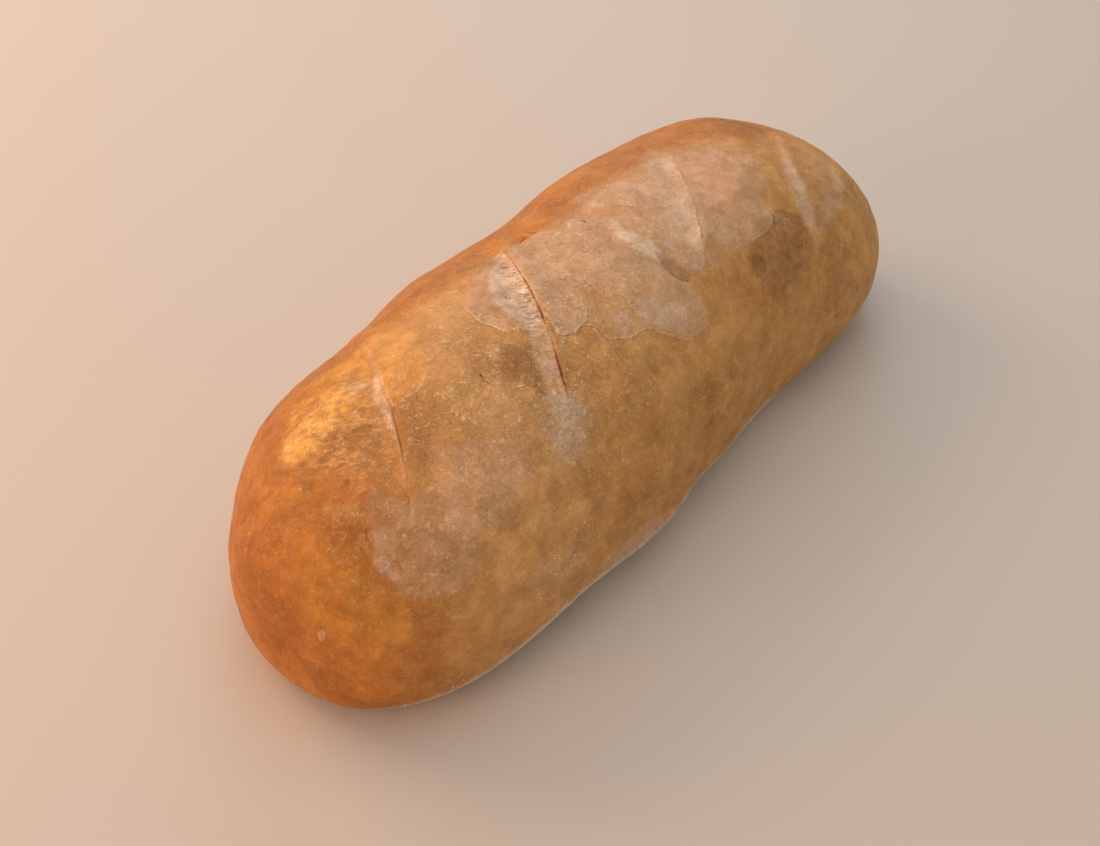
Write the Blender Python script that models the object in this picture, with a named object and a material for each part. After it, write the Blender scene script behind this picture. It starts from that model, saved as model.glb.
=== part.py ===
"""French bread loaf: one uncut hearth loaf, 0.31 m long, with five slanting slashes over its crest.

Metres, +Z up. The loaf lies along X on its flat base at z = 0, with its box centred on X = 0, Y = 0.
Its surface is skinned over slices that slant and curl as the baker's blade did, so that every
slash runs along one ring of the mesh.
"""
import math

import bpy
import numpy as np

# Driving dimensions of the loaf
LENGTH = 0.319
WIDTH = 0.130
HEIGHT = 0.0906
GIRTH_HEIGHT = 0.027    # the level at which the loaf is widest
FOOT_ROUND = 0.003      # rounding where the side turns under into the flat base

# How blunt the ends and the section are: 2 is an ellipse, more is squarer
LEFT_PLAN = {"near": 2.77, "far": 3.45}
RIGHT_PLAN = {"near": 2.75, "far": 3.86}
CREST_ENDS = {"near": 3.20, "far": 2.87}
UNDERSIDE_ENDS = 4.3
CROWN = 2.15            # the section above the girth
UNDERSIDE = 2.4         # the section below the girth
UNDERSIDE_SINK = 0.013  # how far the round underside would reach below the base it is baked flat on

# How the loaf differs from an even one
CREST_FALL = -0.010     # the far end is lower by this share
BOW = 0.0042            # the middle bows out to the left

# Where the flanks swell out or are drawn in: place and spread along the loaf as shares of its half
# length, and rise in metres. The two hollows on the left lie where slashes run down it.
LEFT_SWELLS = (
    {"place": -0.69, "spread": 0.15, "rise": 0.0054},
    {"place": -0.39, "spread": 0.09, "rise": -0.0015},
    {"place": -0.20, "spread": 0.08, "rise": 0.0010},
    {"place": 0.10, "spread": 0.12, "rise": -0.0038},
    {"place": 0.75, "spread": 0.15, "rise": 0.0008},
)
RIGHT_SWELLS = (
    {"place": -0.78, "spread": 0.13, "rise": 0.0019},
    {"place": -0.42, "spread": 0.18, "rise": -0.0029},
    {"place": -0.02, "spread": 0.08, "rise": -0.0014},
    {"place": 0.35, "spread": 0.26, "rise": -0.0049},
    {"place": 0.80, "spread": 0.15, "rise": 0.0012},
)

# The slashes: where each crosses the crest, its slant (x for each y), its curl (x for each y * y),
# the angles round the loaf that it starts and ends at (0 left, 90 crest, 180 right), and its strength
SLASHES = (
    {"crest": -0.1012, "slant": 0.76, "curl": 2.5, "start": 30.0, "end": 138.0, "strength": 0.50},
    {"crest": -0.0300, "slant": 0.68, "curl": 1.1, "start": 40.0, "end": 134.0, "strength": 1.00},
    {"crest": 0.0618, "slant": 0.94, "curl": 1.2, "start": 64.0, "end": 131.0, "strength": 0.55},
    {"crest": 0.1308, "slant": 1.00, "curl": -0.5, "start": 62.0, "end": 131.0, "strength": 0.40},
    {"crest": 0.1675, "slant": 1.15, "curl": 2.5, "start": 66.0, "end": 142.0, "strength": 0.30},
)
SLASH_FADE = 20.0       # degrees over which a slash runs out at each end
GROOVE_DEPTH = 0.0016   # the cut itself
GROOVE_WIDTH = 0.0016
BAND_SINK = 0.0013      # the paler band that opened beside the cut lies this much lower
BAND_WIDTH = 0.013
LIP_RISE = 0.0009       # the lip on the far side of the cut stands this much proud
LIP_WIDTH = 0.009
SWELL = 0.0007          # the crust swells between two slashes
SWELL_FADE = 0.025      # and evens out past the first and last of them

# Dents in the crust: place along and across, long and short radius, turn in degrees and depth
DENTS = (
    {"x": 0.0180, "y": -0.0255, "long": 0.0080, "short": 0.0033, "turn": 90.0, "depth": 0.0020},
    {"x": -0.0050, "y": 0.0267, "long": 0.0050, "short": 0.0030, "turn": 65.0, "depth": 0.0010},
    {"x": 0.0573, "y": -0.0313, "long": 0.0055, "short": 0.0030, "turn": 88.0, "depth": 0.0012},
    {"x": -0.1372, "y": -0.0265, "long": 0.0080, "short": 0.0050, "turn": 60.0, "depth": 0.0010},
)

# The uneven rise of the dough: soft lumps from waves in random directions
LUMP_SEED = 41
LUMP_WAVES = 14
LUMP_SHORTEST = 0.034
LUMP_LONGEST = 0.085
LUMP_HEIGHT = 0.0007

# Fineness of the mesh
SIDE_COLUMNS = 34       # over the top, from girth to girth
BASE_COLUMNS = 22       # round underneath
RING_GAP = 0.0060       # between rings that lie away from a slash
END_RINGS = 9
SLASH_RINGS = (-0.0085, -0.0040, -0.0014, 0.0, 0.0011, 0.0055)
OUTLINE_POINTS = 12000

CRUST_COLOUR = (0.50, 0.22, 0.065, 1.0)
CRUST_ROUGHNESS = 0.6
SHARP_ANGLE = math.radians(50.0)


def clear_scene():
    """Start from an empty scene."""
    for item in list(bpy.data.objects):
        bpy.data.objects.remove(item, do_unlink=True)


def smooth_step(low, high, value):
    """0 below low, 1 above high, an even S between."""
    share = np.clip((value - low) / (high - low), 0.0, 1.0)
    return share * share * (3.0 - 2.0 * share)


def hump(value, place, spread):
    """A bell of height 1 at place."""
    return np.exp(-((value - place) / spread) ** 2)


def round_off(share, power):
    """1 at the middle of the loaf, falling to 0 at its tips."""
    inside = np.clip(1.0 - np.abs(share) ** power, 0.0, 1.0)
    return inside ** (1.0 / power)


def end_power(share, ends):
    """The bluntness of the end that a place belongs to."""
    return np.where(share < 0.0, ends["near"], ends["far"])


def centre_line(share):
    """The bowed middle line in plan."""
    return BOW * (1.0 - share ** 2)


def half_width(share, ends, swells):
    """From the middle line to a flank, with its swells and hollows."""
    full = WIDTH / 2.0 + sum(swell["rise"] * hump(share, swell["place"], swell["spread"]) for swell in swells)
    return full * round_off(share, end_power(share, ends))


def left_half_width(share):
    """From the middle line to the left flank."""
    return half_width(share, LEFT_PLAN, LEFT_SWELLS)


def right_half_width(share):
    """From the middle line to the right flank."""
    return half_width(share, RIGHT_PLAN, RIGHT_SWELLS)


def across(x, y):
    """How far a point is from the middle line, as a share of the way to its flank."""
    share = np.clip(x / (LENGTH / 2.0), -1.0, 1.0)
    offset = y - centre_line(share)
    half = np.where(offset >= 0.0, left_half_width(share), right_half_width(share))
    return share, np.clip(np.abs(offset) / np.maximum(half, 1e-9), 0.0, 1.0)


def top_height(x, y):
    """The crown above the girth."""
    share, out = across(x, y)
    full = (HEIGHT - GIRTH_HEIGHT) * (1.0 + CREST_FALL * share)
    rise = full * round_off(share, end_power(share, CREST_ENDS))
    return GIRTH_HEIGHT + rise * round_off(out, CROWN)


def underside_height(x, y):
    """The round underside, baked flat where it would reach below the table."""
    share, out = across(x, y)
    drop = (GIRTH_HEIGHT + UNDERSIDE_SINK) * round_off(share, UNDERSIDE_ENDS)
    height = GIRTH_HEIGHT - drop * round_off(out, UNDERSIDE)
    turned = (height + FOOT_ROUND) ** 2 / (4.0 * FOOT_ROUND)
    blended = np.where(height < FOOT_ROUND, turned, height)
    return np.where(height < -FOOT_ROUND, 0.0, blended)


def slice_shape(crest):
    """Slant and curl of the slice that crosses the crest at a place, eased from slash to slash."""
    places = [slash["crest"] for slash in SLASHES]
    slant = np.interp(crest, places, [slash["slant"] for slash in SLASHES])
    curl = np.interp(crest, places, [slash["curl"] for slash in SLASHES])
    return slant, curl


def slice_x(crest, y):
    """x along a slanting, curling slice."""
    slant, curl = slice_shape(crest)
    return crest + slant * y - curl * y * y


def slice_through(x, y):
    """The crest place of the slice that goes through a point of the plan."""
    crest = np.array(x, dtype=float)
    for _ in range(30):
        slant, curl = slice_shape(crest)
        crest = x - slant * y + curl * y * y
    return crest


def flanks():
    """For the slices from end to end: crest place and y of the left flank, then of the right one."""
    share = np.sin(np.linspace(-math.pi / 2.0, math.pi / 2.0, OUTLINE_POINTS))
    left = np.stack([share * LENGTH / 2.0, centre_line(share) + left_half_width(share)])
    right = np.stack([share * LENGTH / 2.0, centre_line(share) - right_half_width(share)])
    ring = np.concatenate([left, right[:, ::-1]], axis=1)
    crest = slice_through(ring[0], ring[1])
    ring = np.roll(ring, -int(np.argmin(crest)), axis=1)
    crest = np.roll(crest, -int(np.argmin(crest)))
    far = int(np.argmax(crest)) + 1
    left_side = (np.maximum.accumulate(crest[:far]), ring[1, :far])
    right_crest = np.append(crest[far - 1:], crest[0])[::-1]
    right_y = np.append(ring[1, far - 1:], ring[1, 0])[::-1]
    return left_side, (np.maximum.accumulate(right_crest), right_y)


def end_rings(tip, inner):
    """Rings that close up on a tip, evenly spaced along the round end."""
    steps = np.arange(1, END_RINGS + 1) / END_RINGS
    return tip + (inner - tip) * steps ** 2


def ring_places(nearest, farthest):
    """Crest places of all rings between the two tips: close together at each slash."""
    marks = sorted(slash["crest"] + step for slash in SLASHES for step in SLASH_RINGS)
    places = [marks[0]]
    for mark in marks[1:]:
        pieces = max(1, round((mark - places[-1]) / RING_GAP))
        places.extend(np.linspace(places[-1], mark, pieces + 1)[1:])
    near = end_rings(nearest, places[0])[:-1]
    far = end_rings(farthest, places[-1])[:-1]
    return np.concatenate([near, places, far[::-1]])


def loaf_grid():
    """The plain form as rings of points, with each point's crest place and angle, and both tips."""
    left_side, right_side = flanks()
    nearest, farthest = left_side[0][0], left_side[0][-1]
    crest = ring_places(nearest, farthest)[:, None]
    top_angles = np.linspace(0.0, math.pi, SIDE_COLUMNS + 1)
    base_angles = np.linspace(math.pi, 2.0 * math.pi, BASE_COLUMNS + 2)[1:-1]
    angle = np.concatenate([top_angles, base_angles])[None, :]
    left_y = np.interp(crest, *left_side)
    right_y = np.interp(crest, *right_side)
    y = (left_y + right_y) / 2.0 + (left_y - right_y) / 2.0 * np.cos(angle)
    x = slice_x(crest, y)
    z = np.where(angle <= math.pi, top_height(x, y), underside_height(x, y))
    z[:, 0] = GIRTH_HEIGHT
    z[:, SIDE_COLUMNS] = GIRTH_HEIGHT
    tips = [(slice_x(end, np.interp(end, *left_side)), np.interp(end, *left_side), GIRTH_HEIGHT)
            for end in (nearest, farthest)]
    return np.stack([x, y, z], axis=-1), crest, angle, np.array(tips)


def outward(points):
    """Unit normals of a grid of rings."""
    along = np.gradient(points, axis=0)
    around = (np.roll(points, -1, axis=1) - np.roll(points, 1, axis=1)) / 2.0
    normal = np.cross(around, along)
    length = np.linalg.norm(normal, axis=-1, keepdims=True)
    return normal / np.maximum(length, 1e-12)


def slash_relief(crest, angle):
    """The cuts: a groove, a sunken band on its near side and a lip on its far side."""
    relief = np.zeros(np.broadcast(crest, angle).shape)
    degrees = np.degrees(angle)
    for slash in SLASHES:
        gone = crest - slash["crest"]
        runs_in = smooth_step(slash["start"], slash["start"] + SLASH_FADE, degrees)
        runs_out = smooth_step(slash["end"] - SLASH_FADE, slash["end"], degrees)
        groove = -GROOVE_DEPTH * np.clip(1.0 - np.abs(gone) / GROOVE_WIDTH, 0.0, 1.0)
        band = -BAND_SINK * smooth_step(-BAND_WIDTH, 0.0, gone) * (gone <= 0.0)
        lip = LIP_RISE * (1.0 - smooth_step(0.0, LIP_WIDTH, gone)) * (gone > 0.0)
        relief += slash["strength"] * runs_in * (1.0 - runs_out) * (groove + band + lip)
    return relief


def swell_relief(crest, angle):
    """The crust swells between neighbouring slashes and lies lower along them."""
    places = np.array([slash["crest"] for slash in SLASHES[:4]])
    count = np.interp(crest, places, np.arange(len(places)))
    inner = smooth_step(places[0] - SWELL_FADE, places[0], crest)
    outer = smooth_step(places[-1], places[-1] + SWELL_FADE, crest)
    return -SWELL * np.cos(2.0 * math.pi * count) * inner * (1.0 - outer) * np.clip(np.sin(angle), 0.0, 1.0)


def dent_relief(points):
    """Small hollows, each a long bell turned in plan."""
    relief = np.zeros(points.shape[:2])
    for dent in DENTS:
        turn = math.radians(dent["turn"])
        from_x = points[..., 0] - dent["x"]
        from_y = points[..., 1] - dent["y"]
        along = (from_x * math.cos(turn) + from_y * math.sin(turn)) / dent["long"]
        beside = (from_y * math.cos(turn) - from_x * math.sin(turn)) / dent["short"]
        relief -= dent["depth"] * np.exp(-along ** 2 - beside ** 2) * (points[..., 2] > GIRTH_HEIGHT)
    return relief


def lump_relief(points):
    """A sum of soft waves in random directions through the loaf."""
    draw = np.random.default_rng(LUMP_SEED)
    relief = np.zeros(points.shape[:2])
    for _ in range(LUMP_WAVES):
        way = draw.normal(size=3)
        way /= np.linalg.norm(way)
        wave = draw.uniform(LUMP_SHORTEST, LUMP_LONGEST)
        start = draw.uniform(0.0, 2.0 * math.pi)
        relief += np.sin(points @ way * (2.0 * math.pi / wave) + start)
    return relief * LUMP_HEIGHT / math.sqrt(LUMP_WAVES)


def shaped_crust():
    """The grid with its relief pressed in; the base stays flat."""
    points, crest, angle, tips = loaf_grid()
    relief = slash_relief(crest, angle) + swell_relief(crest, angle)
    relief = relief + dent_relief(points) + lump_relief(points)
    clear_of_base = smooth_step(0.001, 0.012, points[..., 2])
    points = points + outward(points) * (relief * clear_of_base)[..., None]
    points[..., 2] = np.maximum(points[..., 2], 0.0)
    return points, tips


def skin(points, tips):
    """Vertices and faces of the closed skin: quads between rings and a fan at each tip."""
    rings, columns = points.shape[:2]
    vertices = [tuple(tips[0])] + [tuple(point) for point in points.reshape(-1, 3)] + [tuple(tips[1])]
    last = len(vertices) - 1
    faces = []
    for column in range(columns):
        following = (column + 1) % columns
        faces.append((0, 1 + following, 1 + column))
        end = 1 + (rings - 1) * columns
        faces.append((last, end + column, end + following))
        for ring in range(rings - 1):
            start = 1 + ring * columns
            faces.append((start + column, start + following,
                          start + columns + following, start + columns + column))
    return vertices, faces


def crust_material():
    """Browned crust, matt."""
    material = bpy.data.materials.new("browned_crust")
    material.use_nodes = True
    shader = material.node_tree.nodes["Principled BSDF"]
    shader.inputs["Base Color"].default_value = CRUST_COLOUR
    shader.inputs["Roughness"].default_value = CRUST_ROUGHNESS
    shader.inputs["Metallic"].default_value = 0.0
    return material


def centre_on_origin(mesh):
    """Put the middle of the loaf's box over the origin and its base at z = 0."""
    places = np.array([vertex.co[:] for vertex in mesh.vertices])
    low, high = places.min(axis=0), places.max(axis=0)
    shift = (low + high) / 2.0
    for vertex in mesh.vertices:
        vertex.co.x -= shift[0]
        vertex.co.y -= shift[1]
        vertex.co.z -= low[2]


def make_loaf():
    """The whole loaf, one closed solid."""
    vertices, faces = skin(*shaped_crust())
    mesh = bpy.data.meshes.new("loaf")
    mesh.from_pydata(vertices, [], faces)
    centre_on_origin(mesh)
    mesh.materials.append(crust_material())
    mesh.shade_smooth()
    mesh.set_sharp_from_angle(angle=SHARP_ANGLE)
    mesh.update()
    loaf = bpy.data.objects.new("loaf", mesh)
    bpy.context.scene.collection.objects.link(loaf)
    return loaf


clear_scene()
make_loaf()
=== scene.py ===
"""French bread loaf, dressed: one browned hearth crust with floury skins, five slashes and a floured foot.

The crust repeats the forms of the solid on a fine grid and adds what the oven and the baker's hands
left on it: patches of dried dough skin with crisp or soft edges, small tears, curls and veins in the
surface, and a pale floured edge where the side turns under. Light and shade are painted on it too:
warm light on the near end and upper left side, a highlight on the near shoulder, shade down the right
side, in hollows, folds, pits and cracks, and a highlight and a shadow line at crisp edges. Places on
the crust are given as the solid gives its slashes: millimetres along the crest, and degrees round the
loaf from the left flank (0) over the crest (90) to the right flank (180).
"""

import math
from functools import partial
from itertools import combinations

import bpy
import numpy as np
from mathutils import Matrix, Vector


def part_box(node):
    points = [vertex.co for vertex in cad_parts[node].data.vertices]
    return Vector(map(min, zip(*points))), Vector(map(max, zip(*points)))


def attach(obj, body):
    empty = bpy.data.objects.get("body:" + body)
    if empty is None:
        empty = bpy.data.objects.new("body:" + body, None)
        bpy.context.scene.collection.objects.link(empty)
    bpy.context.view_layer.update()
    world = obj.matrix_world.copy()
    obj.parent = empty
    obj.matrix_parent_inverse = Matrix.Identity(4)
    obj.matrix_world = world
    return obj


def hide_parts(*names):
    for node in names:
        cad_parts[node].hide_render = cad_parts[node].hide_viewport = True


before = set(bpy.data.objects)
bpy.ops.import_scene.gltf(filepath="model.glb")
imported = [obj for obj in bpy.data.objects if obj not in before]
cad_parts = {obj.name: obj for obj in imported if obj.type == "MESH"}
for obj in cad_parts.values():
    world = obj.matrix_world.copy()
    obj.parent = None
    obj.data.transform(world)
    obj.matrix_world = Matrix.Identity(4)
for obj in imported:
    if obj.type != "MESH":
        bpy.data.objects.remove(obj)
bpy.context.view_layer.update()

MM = 0.001

# === The form of the loaf, in metres, as the solid has it ===
LENGTH = 0.319
WIDTH = 0.130
HEIGHT = 0.0906
GIRTH_HEIGHT = 0.027
FOOT_ROUND = 0.003
# How blunt the near and far end are on each side, and the swells of its flank: place and spread as
# shares of the half length, and rise
SIDES = {
    "left": {"near": 2.77, "far": 3.45,
             "swells": ((-0.69, 0.15, 0.0054), (-0.39, 0.09, -0.0015), (-0.20, 0.08, 0.0010),
                        (0.10, 0.12, -0.0038), (0.75, 0.15, 0.0008))},
    "right": {"near": 2.75, "far": 3.86,
              "swells": ((-0.78, 0.13, 0.0019), (-0.42, 0.18, -0.0029), (-0.02, 0.08, -0.0014),
                         (0.35, 0.26, -0.0049), (0.80, 0.15, 0.0012))},
}
CREST_ENDS = {"near": 3.20, "far": 2.87}
UNDERSIDE_ENDS = 4.3
CROWN = 2.15
UNDERSIDE = 2.4
UNDERSIDE_SINK = 0.013
CREST_FALL = -0.010
BOW = 0.0042

# The slashes, as in the solid, with the half width in mm of the open mouth at degrees round the
# loaf; below 0 the cut has closed up again
CLOSED = ((0, -0.4),)
SLASHES = (
    {"crest": -0.1012, "slant": 0.76, "curl": 2.5, "start": 30.0, "end": 138.0, "strength": 0.50,
     "mouth": ((40, -0.4), (94, -0.4), (99, 0.0), (106, 0.2), (112, 0.3), (115, 0.0), (119, -0.2),
               (124, -0.1), (130, -0.2), (138, -0.4))},
    {"crest": -0.0300, "slant": 0.68, "curl": 1.1, "start": 40.0, "end": 134.0, "strength": 1.00,
     "mouth": ((52, -0.4), (64, -0.25), (76, -0.1), (88, 0.1), (98, 0.1), (104, 0.2), (107, -0.2),
               (112, -0.15), (117, 0.15), (123, 0.3), (128, 0.1), (134, -0.4))},
    {"crest": 0.0618, "slant": 0.94, "curl": 1.2, "start": 64.0, "end": 131.0, "strength": 0.55,
     "mouth": CLOSED},
    {"crest": 0.1308, "slant": 1.00, "curl": -0.5, "start": 62.0, "end": 131.0, "strength": 0.40,
     "mouth": CLOSED},
    {"crest": 0.1675, "slant": 1.15, "curl": 2.5, "start": 66.0, "end": 142.0, "strength": 0.30,
     "mouth": CLOSED},
)
SLASH_FADE = 20.0
GROOVE_DEPTH = 0.0005       # finer than on the solid, whose rings lie too far apart for it
GROOVE_WIDTH = 0.0004       # beyond the half width of the mouth
GROOVE_DEEPER = 0.6         # for each metre of the mouth's half width
MOUTH_OPENS = (-0.4, 0.0)   # mm of half width over which the groove comes in
BAND_SINK = 0.0008
BAND_WIDTH = 0.013
LIP_RISE = 0.0006
STEP = 0.0003
LIP_WIDTH = 0.009
SWELL = 0.0007
SWELL_FADE = 0.025
SWELL_SLASHES = 4
DENTS = (
    {"x": 0.0180, "y": -0.0255, "long": 0.0080, "short": 0.0033, "turn": 90.0, "depth": 0.0020},
    {"x": -0.0050, "y": 0.0267, "long": 0.0050, "short": 0.0030, "turn": 65.0, "depth": 0.0010},
    {"x": 0.0573, "y": -0.0313, "long": 0.0055, "short": 0.0030, "turn": 88.0, "depth": 0.0012},
    {"x": -0.1372, "y": -0.0265, "long": 0.0080, "short": 0.0050, "turn": 60.0, "depth": 0.0010},
)
# The solid's lumps, then ripples that only the crust has: height, and the waves they are made of
UNEVEN = (
    (0.0007, {"seed": 41, "waves": 14, "shortest": 0.034, "longest": 0.085}),
    (0.00013, {"seed": 21, "waves": 40, "shortest": 0.008, "longest": 0.018}),
    (0.00005, {"seed": 22, "waves": 60, "shortest": 0.0035, "longest": 0.008}),
)
BASE_CLEAR = (0.001, 0.012)   # heights over which the relief comes in above the flat base

# === What the oven and the baker's hands left on the crust, and the light and shade painted on it ===
# The kinds of patch, lowest first: colour, how far in mm it stands off the crust below, and how much
# of the wrinkled look of dried dough it has. Darker stains and painted shade in folds, hollows and the pit
# come over all of them
LAYERS = {
    "amber": ("#E6A862", 0.0, 0.0),
    # partly glaze, partly painted warm light brightening the near end and shoulder
    "glaze": ("#F8B046", 0.0, 0.0),
    "top": ("#C69C7C", 0.05, 0.2),
    "brown": ("#8A5628", 0.0, 0.0),
    # golden peel, and the painted highlight on the near shoulder
    "gold": ("#F8B046", 0.10, 0.5),
    "wrinkled": ("#CC9A64", 0.15, 0.9),
    "skin": ("#CCA480", 0.20, 0.3),
    "flake": ("#D2AA88", 0.20, 0.3),
    "pink": ("#D6A88A", 0.05, 0.3),
    "flour": ("#E6CCB6", 0.08, 0.0),
}

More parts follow.
